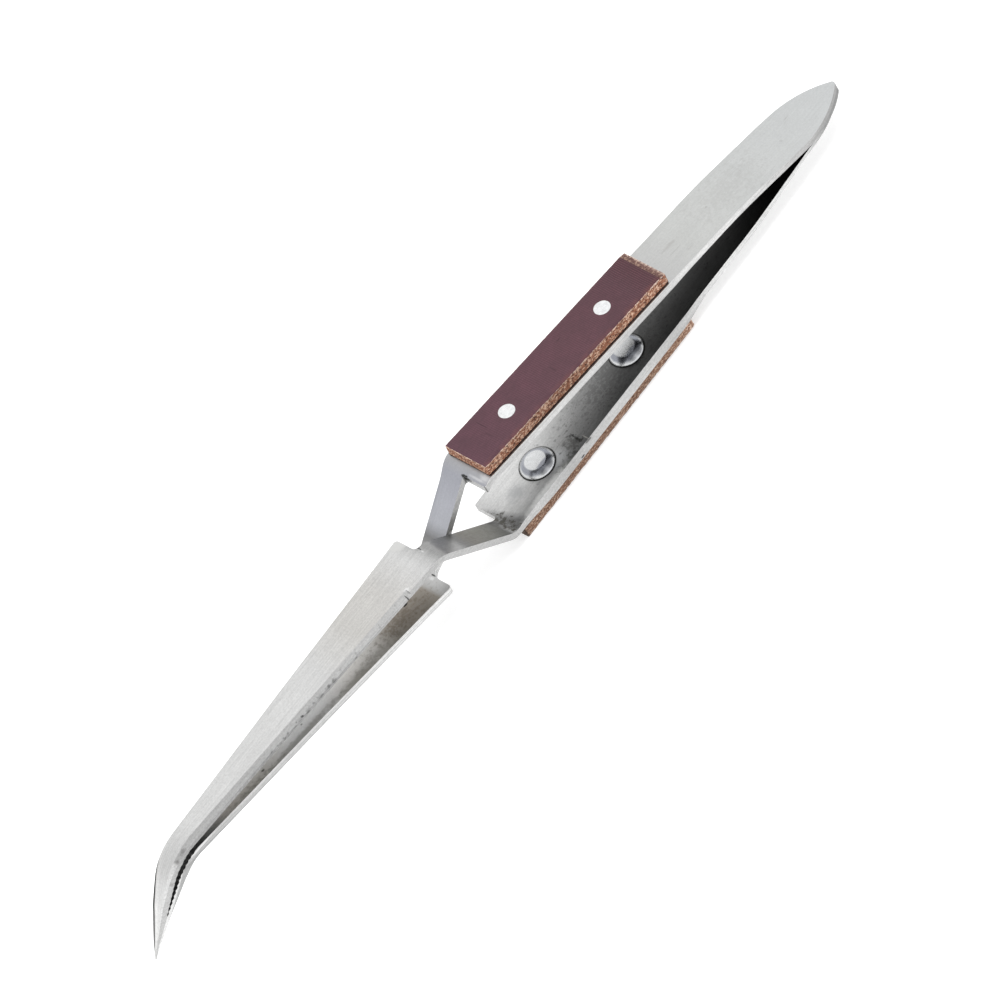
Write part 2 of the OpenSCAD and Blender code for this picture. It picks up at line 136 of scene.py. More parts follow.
# Colours that are not settings
WHITE = (1.0, 1.0, 1.0, 1.0)
LOWER_EDGE_COLOUR = (0.26, 0.14, 0.09)
CHAMFER_COLOUR = (0.16, 0.085, 0.075)
THREAD_COLOUR = (0.66, 0.46, 0.34, 1.0)
FIBRE_GAP_COLOUR = (0.035, 0.010, 0.007, 1.0)
TORN_RIM_COLOUR = (0.56, 0.44, 0.37, 1.0)
SEAT_SHADOW_COLOUR = (0.012, 0.008, 0.006, 1.0)

# Studio: the camera's own directions, its target in millimetres and its distance in metres
CAMERA_RIGHT = Vector((-0.60252, 0.69786, -0.38725))
CAMERA_UP = Vector((-0.76682, -0.37170, 0.52328))
CAMERA_BACK = Vector((0.22124, 0.61223, 0.75910))
CAMERA_TARGET = (18.27, 0.0, 8.95)
CAMERA_DISTANCE = 2.0585
CAMERA_LENS = 511.5
CAMERA_SHIFT = (0.0080, -0.0161)
# Key light: place and target in metres, width in metres and power in watts
KEY_PLACE = (0.1, 0.1, 1.3)
KEY_TARGET = (0.02, 0, 0)
KEY_SIZE = 0.6
KEY_POWER = 8.0
# Dim places of the bright tent: direction, cosines where the dimming starts and ends, brightness
TENT_OPENING = ((0.22, 0.62, 0.75), 0.86, 0.99, 0.35)
TENT_CARD = ((-0.60, 0.48, 0.64), 0.84, 0.97, 0.30)
TENT_STRENGTH = 1.25

# Material slots of an arm: RIM is a rounded edge that looks down, GROUND the blade's ground face
TOP, BOTTOM, SIDE, EDGE, RIM, GROUND = range(6)
# Material slots of a grip plate
FACE, SAWN, WORN = range(3)


def mm(*values):
    """Millimetres to metres, as a vector."""
    return Vector(values) * MM


# Small helpers for modelling

def deselect_all():
    """Leave object mode clean: nothing selected."""
    if bpy.context.object and bpy.context.object.mode != "OBJECT":
        bpy.ops.object.mode_set(mode="OBJECT")
    bpy.ops.object.select_all(action="DESELECT")


def make_active(piece):
    """Select one object alone and make it active."""
    deselect_all()
    piece.select_set(True)
    bpy.context.view_layer.objects.active = piece


def copy_node(node, name):
    """A free copy of a solid's mesh, with its loose triangles merged into whole faces."""
    make_active(frame["nodes"][node])
    bpy.ops.object.duplicate()
    piece = bpy.context.active_object
    bpy.ops.object.parent_clear(type="CLEAR_KEEP_TRANSFORM")
    piece.name = name
    piece.data.name = name
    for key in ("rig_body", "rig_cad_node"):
        if key in piece:
            del piece[key]
    piece.data.materials.clear()
    bpy.ops.object.mode_set(mode="EDIT")
    bpy.ops.mesh.select_all(action="SELECT")
    bpy.ops.mesh.remove_doubles(threshold=DOUBLES * MM)
    bpy.ops.mesh.customdata_custom_splitnormals_clear()
    bpy.ops.mesh.dissolve_limited(angle_limit=math.radians(FLAT_ANGLE))
    bpy.ops.object.mode_set(mode="OBJECT")
    return piece


def select_edges(piece, wanted):
    """In edit mode, select exactly the edges for which wanted(edge) is true."""
    mesh = bmesh.from_edit_mesh(piece.data)
    mesh.select_mode = {"EDGE"}
    for face in mesh.faces:
        face.select_set(False)
    for edge in mesh.edges:
        edge.select_set(False)
    count = 0
    for edge in mesh.edges:
        if wanted(edge):
            edge.select_set(True)
            count += 1
    mesh.select_flush_mode()
    bmesh.update_edit_mesh(piece.data)
    return count


def sharp(edge, degrees=28.0):
    """True where two faces meet at more than this angle."""
    return len(edge.link_faces) == 2 and edge.calc_face_angle(0.0) > math.radians(degrees)


def bevel_selected(width, segments=2, slot=-1):
    """Round the selected edges by a width in millimetres, with a material slot of their own."""
    bpy.ops.mesh.bevel(offset=width * MM, offset_type="OFFSET", segments=segments, profile=0.5,
                       affect="EDGES", clamp_overlap=True, material=slot)


def cut(point, normal):
    """In edit mode, cut the mesh along a plane and keep both sides."""
    bpy.ops.mesh.select_all(action="SELECT")
    bpy.ops.mesh.bisect(plane_co=point, plane_no=normal, use_fill=False)


def smooth(piece, degrees=32.0):
    """Smooth shading that keeps the real edges, with normals weighted by face size."""
    make_active(piece)
    bpy.ops.object.shade_smooth_by_angle(angle=math.radians(degrees))
    modifier = piece.modifiers.new("Weighted normals", "WEIGHTED_NORMAL")
    modifier.keep_sharp = True
    modifier.weight = 60
    bpy.ops.object.modifier_apply(modifier=modifier.name)


# Small helpers for materials

class Nodes:
    """A node tree under construction."""

    def __init__(self, tree):
        self.tree = tree
        self.column = 0

    def feed(self, node, inputs):
        """Set or link a node's inputs."""
        for key, value in inputs.items():
            if isinstance(value, bpy.types.NodeSocket):
                self.tree.links.new(value, node.inputs[key])
            else:
                node.inputs[key].default_value = value

    def add(self, kind, inputs=None, **settings):
        """Add a node, set its own settings and set or link its inputs."""
        node = self.tree.nodes.new(kind)
        node.location = (self.column * 40 - 2000, 0)
        self.column += 1
        for key, value in settings.items():
            setattr(node, key, value)
        self.feed(node, inputs or {})
        return node

    def math(self, operation, a, b=0.0, c=0.0, clamp=False):
        """One arithmetic step on values."""
        node = self.add("ShaderNodeMath", {0: a, 1: b, 2: c}, operation=operation, use_clamp=clamp)
        return node.outputs[0]

    def vector(self, operation, a, b=(0.0, 0.0, 0.0), output=0):
        """One arithmetic step on vectors."""
        return self.add("ShaderNodeVectorMath", {0: a, 1: b}, operation=operation).outputs[output]

    def remap(self, value, low, high, to_low=0.0, to_high=1.0):
        """Smoothly map a value from one range to another."""
        node = self.add("ShaderNodeMapRange", {0: value, 1: low, 2: high, 3: to_low, 4: to_high},
                        interpolation_type="SMOOTHSTEP", clamp=True)
        return node.outputs[0]

    def noise(self, vector, scale, detail=3.0, roughness=0.55):
        """Noise from 0 to 1."""
        node = self.add("ShaderNodeTexNoise", {"Vector": vector, "Scale": scale, "Detail": detail,
                                               "Roughness": roughness})
        return node.outputs[0]

    def along(self, where, direction):
        """Distance in millimetres along a direction."""
        return self.vector("DOT_PRODUCT", where, tuple(part / MM for part in direction), "Value")

    def ramp(self, value, points):
        """Colours or greys at places along a value, in rising order."""
        low, high = points[0][0], points[-1][0]
        share = self.add("ShaderNodeMapRange", {0: value, 1: low, 2: high}, clamp=True).outputs[0]
        node = self.add("ShaderNodeValToRGB", {0: share})
        elements = node.color_ramp.elements
        for place, colour in points[1:-1]:
            elements.new((place - low) / (high - low))
        for element, (place, colour) in zip(elements, points):
            element.color = (*colour, 1.0) if isinstance(colour, tuple) else (colour, colour, colour, 1.0)
        return node.outputs[0]

    def grey(self, value):
        """A grey of the given value."""
        return self.add("ShaderNodeCombineColor", {0: value, 1: value, 2: value}).outputs[0]

    def mix(self, factor, a, b, blend="MIX"):
        """Mix two colours."""
        node = self.add("ShaderNodeMix", {0: factor, 6: a, 7: b}, data_type="RGBA", blend_type=blend)
        return node.outputs[2]

    def group(self, tree, inputs):
        """Place a node group."""
        return self.add("ShaderNodeGroup", inputs, node_tree=tree)

    def patch(self, where, place, reach, softness, raggedness):
        """Mask of a soft patch, with its place and reach in millimetres."""
        inputs = {"Vector": where, "Place": mm(*place), "Reach": mm(*reach), "Softness": softness,
                  "Raggedness": raggedness}
        return self.group(patch_group(), inputs).outputs["Mask"]

    def bump(self, height, strength, depth):
        """Normals of a relief of the given depth in millimetres."""
        inputs = {"Height": height, "Strength": strength, "Distance": depth * MM}
        return self.add("ShaderNodeBump", inputs).outputs[0]


def new_group(name, inputs, outputs):
    """An empty node group with its sockets, ready to be filled."""
    tree = bpy.data.node_groups.new(name, "ShaderNodeTree")
    for label, kind, value in inputs:
        socket = tree.interface.new_socket(label, in_out="INPUT", socket_type=kind)
        if value is not None:
            socket.default_value = value
    for label, kind in outputs:
        tree.interface.new_socket(label, in_out="OUTPUT", socket_type=kind)
    build = Nodes(tree)
    return tree, build, build.add("NodeGroupInput"), build.add("NodeGroupOutput")


def patch_group():
    """A soft-edged, ragged patch round a place: 1 inside, 0 outside."""
    name = "Soft patch"
    if name in bpy.data.node_groups:
        return bpy.data.node_groups[name]
    tree, build, start, end = new_group(
        name,
        [("Vector", "NodeSocketVector", None), ("Place", "NodeSocketVector", None),
         ("Reach", "NodeSocketVector", (0.001, 0.001, 0.001)), ("Softness", "NodeSocketFloat", 0.5),
         ("Raggedness", "NodeSocketFloat", 0.3), ("Grain", "NodeSocketFloat", 1500.0)],
        [("Mask", "NodeSocketFloat")])
    away = build.vector("SUBTRACT", start.outputs["Vector"], start.outputs["Place"])
    away = build.vector("DIVIDE", away, start.outputs["Reach"])
    distance = build.vector("LENGTH", away, output="Value")
    ragged = build.noise(start.outputs["Vector"], start.outputs["Grain"], 3.0, 0.65)
    ragged = build.math("MULTIPLY", build.math("SUBTRACT", ragged, 0.5), start.outputs["Raggedness"])
    distance = build.math("ADD", distance, build.math("MULTIPLY", ragged, 2.0))
    inner = build.math("SUBTRACT", 1.0, start.outputs["Softness"])
    mask = build.remap(distance, inner, 1.0, 1.0, 0.0)
    tree.links.new(mask, end.inputs["Mask"])
    return tree


def brush_group():
    """Fine brush lines of two widths, stretched by the given factors, with broad clouds and grain."""
    name = "Brush lines"
    if name in bpy.data.node_groups:
        return bpy.data.node_groups[name]
    tree, build, start, end = new_group(
        name,
        [("Vector", "NodeSocketVector", None), ("Stretch", "NodeSocketVector", WIDE_BRUSH)],
        [("Lines", "NodeSocketFloat"), ("Cloud", "NodeSocketFloat"), ("Grain", "NodeSocketFloat")])
    stretched = build.vector("MULTIPLY", start.outputs["Vector"], start.outputs["Stretch"])
    fine = build.noise(stretched, 2.2, 2.0, 0.6)
    broad = build.noise(stretched, 0.7, 2.0, 0.5)
    lines = build.math("ADD", build.math("MULTIPLY", fine, 0.8), build.math("MULTIPLY", broad, 0.2))
    cloud = build.noise(start.outputs["Vector"], 160.0, 4.0, 0.6)
    grain = build.noise(start.outputs["Vector"], 3600.0, 2.0, 0.7)
    tree.links.new(grain, end.inputs["Grain"])
    tree.links.new(lines, end.inputs["Lines"])
    tree.links.new(cloud, end.inputs["Cloud"])
    return tree


def pit_group():
    """Scattered small irregular pits: 1 in a pit, 0 elsewhere."""
    name = "Pits"
    if name in bpy.data.node_groups:
        return bpy.data.node_groups[name]
    tree, build, start, end = new_group(
        name,
        [("Vector", "NodeSocketVector", None), ("Grain", "NodeSocketFloat", 1500.0),
         ("Share", "NodeSocketFloat", 0.1)],
        [("Mask", "NodeSocketFloat")])
    spots = build.noise(start.outputs["Vector"], start.outputs["Grain"], 3.0, 0.6)
    low = build.math("SUBTRACT", 0.76, start.outputs["Share"])
    tree.links.new(build.remap(spots, low, build.math("ADD", low, 0.05)), end.inputs["Mask"])
    return tree


def new_material(name):
    """An empty material with its node tree, principled shader and object coordinates."""
    material = bpy.data.materials.new(name)
    material.use_nodes = True
    tree = material.node_tree
    tree.nodes.clear()
    build = Nodes(tree)
    output = build.add("ShaderNodeOutputMaterial")
    shader = build.add("ShaderNodeBsdfPrincipled")
    tree.links.new(shader.outputs[0], output.inputs[0])
    where = build.add("ShaderNodeTexCoord").outputs["Object"]
    return material, build, shader, where


def metal_material(name, tints=(), patches=(), brush=0.06, grain=0.05, pits=0.0, roughness=0.0,
                   slope=None):
    """Satin sheet metal with brush lines, fine grain and small dark pits.

    A tint is (direction, points) and multiplies the metal's colour at places along a direction in
    millimetres. A patch is (place, reach, colour, strength, softness, raggedness). A slope in
    degrees turns the brush lines of a cut side along its arm.
    """
    own = settings()
    material, build, shader, where = new_material(name)
    if slope is None:
        lines = build.group(brush_group(), {"Vector": where})
    else:
        turn = {"Vector": where, "Rotation": (0.0, math.radians(slope), 0.0)}
        turned = build.add("ShaderNodeMapping", turn, vector_type="POINT").outputs[0]
        lines = build.group(brush_group(), {"Vector": turned, "Stretch": SIDE_BRUSH})
    tone = build.remap(lines.outputs["Lines"], 0.3, 0.7, 1.0 - brush, 1.0 + brush * 0.5)
    clouds = build.remap(lines.outputs["Cloud"], 0.25, 0.75, 0.96, 1.03)
    tone = build.math("MULTIPLY", tone, clouds)
    grains = build.remap(lines.outputs["Grain"], 0.25, 0.75, 1.0 - grain, 1.0 + grain)
    tone = build.math("MULTIPLY", tone, grains)
    if pits:
        dots = build.group(pit_group(), {"Vector": where, "Share": pits}).outputs["Mask"]
        fewer = build.remap(build.along(where, LENGTHWISE), PITTED_UP_TO, CLEAN_FROM, 1.0, 0.15)
        dots = build.math("MULTIPLY", dots, fewer)
        tone = build.math("MULTIPLY", tone, build.remap(dots, 0.0, 1.0, 1.0, 0.68))
    base = build.mix(1.0, (*own.metal_colour, 1.0), build.grey(tone), "MULTIPLY")
    for direction, points in tints:
        base = build.mix(1.0, base, build.ramp(build.along(where, direction), points), "MULTIPLY")
    rough = build.math("MULTIPLY", build.math("SUBTRACT", lines.outputs["Cloud"], 0.5), 0.16)
    rough = build.math("ADD", rough, own.metal_roughness + roughness)
    for place, reach, shade, strength, softness, rag in patches:
        mask = build.math("MULTIPLY", build.patch(where, place, reach, softness, rag), strength)
        base = build.mix(mask, base, (*shade, 1.0))
    relief = build.math("MULTIPLY", lines.outputs["Grain"], 0.5)
    relief = build.math("ADD", lines.outputs["Lines"], relief)
    build.feed(shader, {"Base Color": base, "Roughness": rough, "Metallic": 1.0,
                        "Normal": build.bump(relief, 0.35, 0.02)})
    return material


# Settings

class TweezersSettings(bpy.types.PropertyGroup):
    """Sizes and colours that a maker may want to change."""

    edge_round: bpy.props.FloatProperty(
        name="Edge rounding", description="Width of the rounded edges of the arms",
        default=0.00016, unit="LENGTH", precision=5)
    tip_round: bpy.props.FloatProperty(
        name="Tip rounding", description="Width of the rounded edges near the point",
        default=0.00004, unit="LENGTH", precision=5)
    metal_colour: bpy.props.FloatVectorProperty(
        name="Metal colour", description="Colour of the bare sheet metal",
        default=(0.611, 0.611, 0.607), subtype="COLOR", size=3, min=0.0, max=1.0)
    metal_roughness: bpy.props.FloatProperty(
        name="Metal roughness", description="Roughness of the satin finish",
        default=0.38, min=0.0, max=1.0, subtype="FACTOR")
    plate_colour: bpy.props.FloatVectorProperty(
        name="Plate colour", description="Colour of the pressed faces of the fibre plates",
        default=(0.080, 0.034, 0.044), subtype="COLOR", size=3, min=0.0, max=1.0)
    plate_edge_colour: bpy.props.FloatVectorProperty(
        name="Plate edge colour", description="Colour of the sawn edges of the upper plate",
        default=(0.205, 0.083, 0.046), subtype="COLOR", size=3, min=0.0, max=1.0)
    rivet_colour: bpy.props.FloatVectorProperty(
        name="Rivet colour", description="Colour of the rivets",
        default=(0.640, 0.648, 0.655), subtype="COLOR", size=3, min=0.0, max=1.0)
    floor_colour: bpy.props.FloatVectorProperty(
        name="Floor colour", description="Colour of the studio floor",
        default=(0.62, 0.62, 0.62), subtype="COLOR", size=3, min=0.0, max=1.0)
    light_strength: bpy.props.FloatProperty(
        name="Light strength", description="Strength of the key light",
        default=1.0, min=0.0, max=10.0)


def settings():
    """The settings of this scene."""
    return bpy.context.scene.tweezers_settings


# Arms

def jaw_side(edge):
    """True for edges on the serrated inner faces of the jaws and their zigzag borders."""
    middle = (edge.verts[0].co + edge.verts[1].co) / 2 / MM
    if middle.x < JAW_START:
        return False
    return edge.calc_length() < TOOTH_EDGE * MM or all(
        abs(face.normal.y) < 0.4 for face in edge.link_faces)


def arm_slot(face):
    """Material slot of an arm's face, before the edges are rounded."""
    normal = face.normal
    if abs(normal.y) > 0.3:
        return GROUND if normal.z > 0.3 else SIDE
    if face.center.x < JAW_START * MM:
        if abs(normal.x) > 0.9:
            return SIDE
        return TOP if normal.z > 0 else BOTTOM
    return TOP if normal.x + normal.z > 0 else BOTTOM


def upper_border(edge, start, end):
    """True for a sharp edge between a wide upper face and the cut side towards +Y."""
    middle = (edge.verts[0].co + edge.verts[1].co) / 2 / MM
    if not start < middle.x < end or not sharp(edge):
        return False
    normals = [face.normal for face in edge.link_faces]
    return any(n.y > 0.75 for n in normals) and any(abs(n.y) < 0.2 and n.z > 0.2 for n in normals)


def finish_arm(piece, materials, wide):
    """Round the edges of an arm: full width behind the tip bend, less towards the point.

    Each wide edge is (start, end, width) along an upper face, in millimetres.
    """
    own = settings()
    for face in piece.data.polygons:
        face.material_index = arm_slot(face)
    for material in materials:
        piece.data.materials.append(material)
    make_active(piece)
    bpy.ops.object.mode_set(mode="EDIT")
    for start, end, width in wide:
        if select_edges(piece, lambda edge: upper_border(edge, start, end)):
            bevel_selected(width, 2, EDGE)
    select_edges(piece, lambda edge: sharp(edge) and not jaw_side(edge))
    bpy.ops.transform.edge_bevelweight(value=1.0)
    bpy.ops.object.mode_set(mode="OBJECT")
    weights = piece.data.attributes["bevel_weight_edge"]
    share = own.tip_round / own.edge_round
    for edge in piece.data.edges:
        if weights.data[edge.index].value > 0.0:
            x = sum((piece.data.vertices[i].co.x for i in edge.vertices), 0.0) / 2 / MM
            ease = min(max((x - FINE_EDGE_START) / FINE_EDGE_RUN, 0.0), 1.0)
            weights.data[edge.index].value = 1.0 + (share - 1.0) * ease
    bevel = piece.modifiers.new("Rounded edges", "BEVEL")
    bevel.width = own.edge_round
    bevel.segments = 3
    bevel.limit_method = "WEIGHT"
    bevel.use_clamp_overlap = True
    bevel.harden_normals = False
    bevel.material = EDGE
    bpy.ops.object.modifier_apply(modifier=bevel.name)
    # Rounded edges that look down go to the rim slot, painted darker as shade
    for face in piece.data.polygons:
        if face.material_index == EDGE and face.normal.z < -0.2:
            face.material_index = RIM
    smooth(piece)


def edge_material(name, tints=()):
    """Worn metal of the rounded edges, smoother and painted brighter as a highlight."""
    return metal_material(name, [(LENGTHWISE, [(ARM_REAR, 1.1), (88.0, 1.1), (104.0, 1.0)]), *tints],
                          brush=0.02, grain=0.12, roughness=-0.08)


class TWEEZERS_OT_upper_arm(bpy.types.Operator):
    """Finish the upper arm, whose narrow neck is on the far side"""

    bl_idname = "tweezers.upper_arm"
    bl_label = "Upper arm"

    def execute(self, context):
        piece = copy_node("upper_arm", "upper_arm_finished")
        # Own tone and painted light and shade along the top: darker neck, brighter blade, shaded jaw gap
        neck = (0.52, 0.53, 0.59)
        along = [(-60.0, (0.84, 0.86, 0.87)), (-28.0, (0.83, 0.84, 0.83)), (-20.0, 0.78), (16.0, 0.80),
                 (19.0, (0.62, 0.62, 0.63)), (21.5, neck), (25.0, (0.60, 0.61, 0.67)),
                 (28.0, (0.60, 0.61, 0.66)), (30.0, 0.28), (31.5, 0.60), (33.0, 0.80), (36.0, 0.80),
                 (36.8, (0.58, 0.53, 0.47)), (42.0, (0.58, 0.52, 0.455)), (45.0, (0.66, 0.61, 0.55)),
                 (48.5, (1.15, 1.13, 1.09)), (54.0, (1.35, 1.32, 1.28)), (60.0, 1.36), (67.0, 1.36),
                 (73.0, (1.12, 1.09, 1.04)), (81.0, (1.15, 1.10, 1.04)), (85.0, 0.75), (87.5, 0.28),
                 (ARM_FRONT, 0.30)]
        # Painted shade in the channel between the arms, darkest towards the rear
        inner = [(ARM_REAR, 0.10), (-40.0, 0.10), (-15.0, 0.14), (5.0, 0.2), (20.0, 0.45), (26.0, 0.7),
                 (34.0, 0.85), (ARM_FRONT, 0.80)]
        # Painted reflection and shade along the cut sides
        sides = [(ARM_REAR, 0.40), (-55.0, 0.52), (-50.0, 0.70), (-42.0, 0.86), (-28.0, 1.05), (-16.0, 0.78),
                 (4.0, 0.90), (16.0, 0.78), (22.0, 0.64), (28.0, 0.66), (32.0, 0.88), (50.0, 0.80),
                 (60.0, 0.72), (74.0, 0.66), (90.0, 0.58), (ARM_FRONT, 0.66)]
        # Painted highlights: a band on the jaw's side, and bands with darker lines on the blade's side
        rim = [(60.0, 1.0), (71.15, 1.0), (71.35, 1.7), (72.5, 1.7)]
        side_highlight_bands = [(2.3, 1.0), (2.6, 0.88), (2.95, 0.98), (3.12, 1.2), (3.3, 1.2), (3.38, 0.85), (3.48, 1.24),
                  (3.95, 1.26), (4.3, 1.0)]
        patches = [
            # Shade on the neck
            ((25.5, -4.8, 13.0), (4.8, 1.5, 5.0), (0.25, 0.26, 0.28), 0.9, 0.9, 0.1),
            # Stains and shade along the blade
            ((42.5, 1.6, 8.0), (6.0, 2.2, 2.0), (0.17, 0.14, 0.11), 0.45, 1.0, 2.2),
            ((48.0, 3.0, 8.6), (8.0, 2.4, 2.0), (0.20, 0.18, 0.15), 0.30, 1.0, 2.2),
            ((53.5, 3.3, 9.2), (8.0, 1.9, 2.0), (0.36, 0.34, 0.31), 0.75, 0.8, 0.3),
            ((66.0, 2.4, 10.4), (16.0, 1.0, 2.0), (0.24, 0.22, 0.20), 0.55, 0.8, 0.6),
            ((77.0, 2.4, 11.5), (9.0, 1.6, 2.0), (0.22, 0.20, 0.17), 0.50, 1.0, 1.5),
            # Dark specks of the blade, a notch drawn in painted shade and a painted highlight beside it
            ((73.0, 1.2, 11.1), (0.45, 0.25, 0.5), (0.05, 0.045, 0.04), 0.8, 0.6, 0.9),
            ((64.0, 0.8, 10.2), (0.3, 0.2, 0.5), (0.05, 0.045, 0.04), 0.7, 0.6, 0.9),
            ((40.2, 0.4, 7.9), (0.6, 0.22, 0.5), (0.02, 0.02, 0.02), 0.95, 0.5, 0.5),
            ((34.1, 0.5, 7.3), (0.16, 0.6, 0.5), (0.03, 0.03, 0.03), 0.9, 0.5, 0.4),
            ((34.7, 0.7, 7.4), (0.40, 0.6, 0.5), (0.66, 0.66, 0.66), 0.8, 0.8, 1.4),
            # Painted shade in the notch at the fold and a painted highlight on the lip before the plate
            ((21.1, 0.25, 15.3), (0.34, 0.75, 0.5), (0.03, 0.03, 0.03), 0.95, 0.4, 0.7),
            ((20.6, 2.6, 15.5), (0.30, 2.4, 0.5), (0.56, 0.56, 0.57), 0.7, 0.8, 0.4),
            ((20.0, 3.7, 15.6), (0.9, 1.3, 0.6), (0.56, 0.56, 0.57), 0.8, 0.8, 0.5),
            # Scratches, spots and clouds on the rear arm
            ((-25.7, -0.5, 10.2), (2.2, 0.35, 0.6), (0.36, 0.35, 0.34), 0.5, 0.7, 0.8),
            ((-25.7, 1.0, 10.3), (1.8, 0.12, 0.6), (0.36, 0.35, 0.34), 0.5, 0.7, 0.4),
            ((-27.2, 2.7, 10.1), (1.4, 0.10, 0.6), (0.38, 0.37, 0.36), 0.5, 0.7, 0.4),
            ((-34.0, -0.3, 9.2), (0.40, 0.35, 0.6), (0.32, 0.32, 0.31), 0.6, 0.9, 0.6),
            ((-52.9, -1.6, 5.8), (0.9, 0.12, 0.6), (0.38, 0.38, 0.37), 0.6, 0.7, 0.4),
            ((-52.3, -1.2, 5.9), (1.2, 0.08, 0.6), (0.40, 0.40, 0.39), 0.6, 0.7, 0.3),
            ((-49.2, 0.7, 6.3), (0.35, 0.30, 0.6), (0.38, 0.38, 0.38), 0.5, 0.9, 0.8),
            ((-41.5, 4.2, 7.9), (0.5, 0.25, 0.6), (0.36, 0.36, 0.35), 0.5, 0.9, 0.8),
            ((-38.0, 0.0, 8.4), (9.0, 4.5, 4.0), (0.40, 0.40, 0.39), 0.30, 1.0, 2.6),
        ]
        # A dark burr at the fold, and a painted highlight on the side where the jaw starts
        burr_and_highlight = [
            ((21.2, 0.7, 14.8), (0.5, 0.9, 0.6), (0.05, 0.05, 0.05), 0.9, 0.5, 0.6),
            ((87.5, 1.8, 12.35), (3.6, 0.8, 0.35), (0.62, 0.62, 0.62), 0.9, 0.6, 0.2),
        ]
        materials = [
            metal_material("upper arm top", [(LENGTHWISE, along)], patches, brush=0.04),
            metal_material("upper arm inner face", [(LENGTHWISE, inner)]),
            metal_material("upper arm sides", [(LENGTHWISE, sides), (ACROSS_TIP_SIDE, rim),
                                               (ACROSS_BLADE_SIDE, side_highlight_bands)], burr_and_highlight,
                           brush=0.16, grain=0.12, slope=6.0),
            edge_material("upper arm edges"),
            # Painted shade: rounded edges that look down are painted darker
            metal_material("upper arm lower edges", [(LENGTHWISE, [(ARM_REAR, 0.4), (ARM_FRONT, 0.4)])]),
        ]
        finish_arm(piece, materials, [(35.5, 84.0, 0.32), (10.0, 21.3, 0.30)])
        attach(piece, "upper_half")
        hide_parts("upper_arm")
        return {"FINISHED"}


